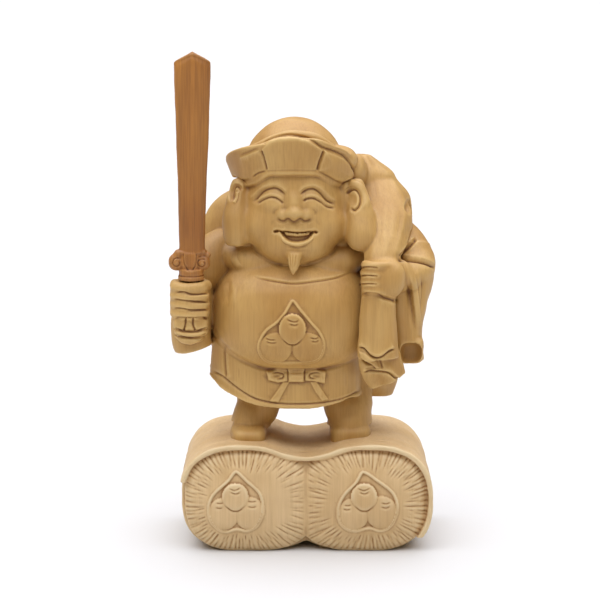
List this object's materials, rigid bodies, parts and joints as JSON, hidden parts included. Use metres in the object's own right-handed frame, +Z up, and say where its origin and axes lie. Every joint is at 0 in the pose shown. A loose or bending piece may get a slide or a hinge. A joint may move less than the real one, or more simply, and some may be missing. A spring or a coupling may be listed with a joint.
{
  "type": "carved wooden lucky-god figure",
  "caption": "Carved wooden lucky god with a sword and a treasure sack, standing on two rice bales; a desk or shelf ornament that rests on its flat underside.",
  "frame": {"origin": "under the middle of the whole object, on the plane it stands on", "axes": "+Z up, the front faces -Y, the sword stands on the -X side"},
  "size_m": [0.0832, 0.0488, 0.1554],
  "materials": {
    "pale_wood": "bare, knife-cut and hand-polished",
    "dark_wood": "bare, redder wood, sanded smooth"
  },
  "bodies": {
    "root": {"figure_on_bales": "pale_wood", "sword": "dark_wood"}
  },
  "joints": []
}
